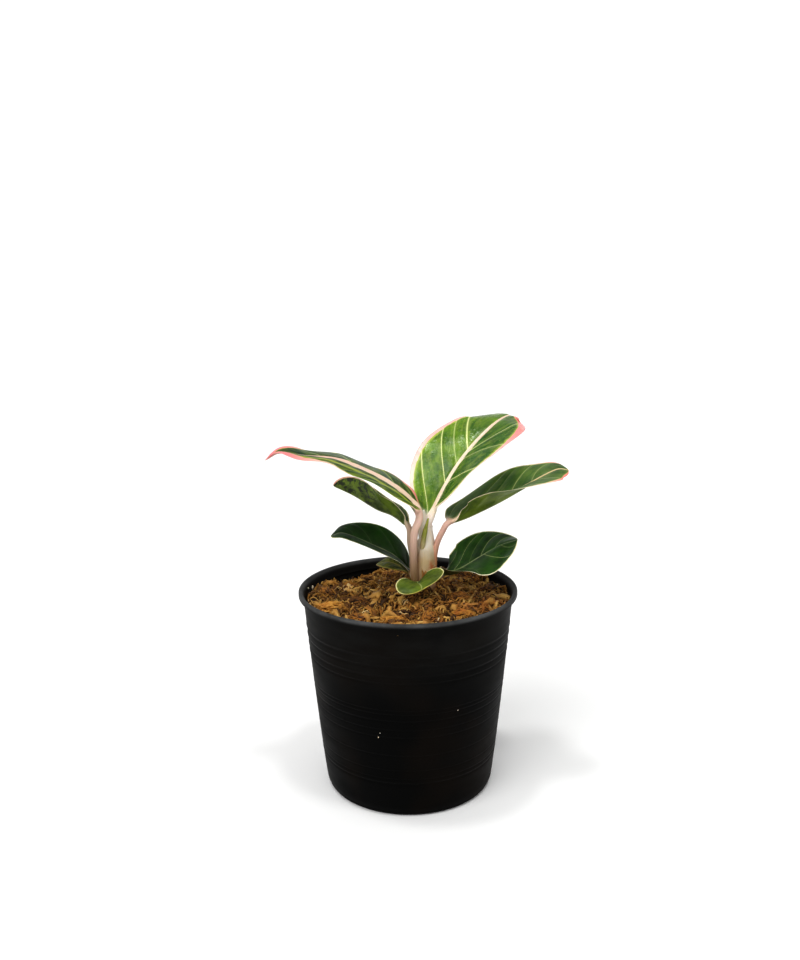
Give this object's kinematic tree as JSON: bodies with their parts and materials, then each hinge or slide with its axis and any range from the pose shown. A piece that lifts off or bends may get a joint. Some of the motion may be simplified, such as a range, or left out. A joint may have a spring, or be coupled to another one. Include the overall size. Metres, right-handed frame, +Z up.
{
  "type": "potted aglaonema",
  "caption": "Young pink-edged aglaonema in a black plastic nursery pot of fibrous growing medium, with stem, leaves and roots as separate pieces.",
  "frame": {"origin": "the middle of the pot's flat underside, on the surface the pot stands on", "axes": "+Z straight up along the pot's axis, -Y towards the viewer of the picture, +X to the viewer's right"},
  "size_m": [0.1423, 0.105, 0.1766],
  "materials": {
    "pot_plastic": "black injection-moulded polypropylene, satin, with fine moulded grooves",
    "growing_medium": "damp chopped husk and moss, fibrous, amber to dark brown",
    "stem_flesh": "cream to beige plant stem wrapped in old sheaths, faintly streaked",
    "root_flesh": "thick pale roots, slightly rough",
    "leaf_green": "waxy green leaf with pale veins, cream streaks and a pink margin",
    "leaf_dark": "waxy dark green leaf with grey-green veins and a cream margin",
    "dry_husk": "torn dry husk and fibre, straw to red-brown, rough"
  },
  "bodies": {
    "root": {"pot": "pot_plastic", "growing_medium": "growing_medium", "roots": "root_flesh", "stem": "stem_flesh", "leaf_top": "leaf_green", "leaf_left_long": "leaf_green", "leaf_right_up": "leaf_green", "leaf_left_mid": "leaf_dark", "leaf_left_low": "leaf_dark", "leaf_back_low": "leaf_green", "leaf_right_low": "leaf_dark", "leaf_front": "leaf_green", "rolled_leaf": "leaf_green", "dry_sheath": "dry_husk", "dry_fibre": "dry_husk", "husk_chip_01": "dry_husk", "husk_chip_02": "dry_husk", "husk_chip_03": "dry_husk", "husk_chip_04": "dry_husk", "husk_chip_05": "dry_husk", "husk_chip_06": "dry_husk", "husk_chip_07": "dry_husk", "husk_chip_08": "dry_husk", "husk_chip_09": "dry_husk", "husk_chip_10": "dry_husk", "husk_chip_11": "dry_husk", "husk_chip_12": "dry_husk", "husk_chip_13": "dry_husk", "husk_chip_14": "dry_husk"}
  },
  "joints": []
}
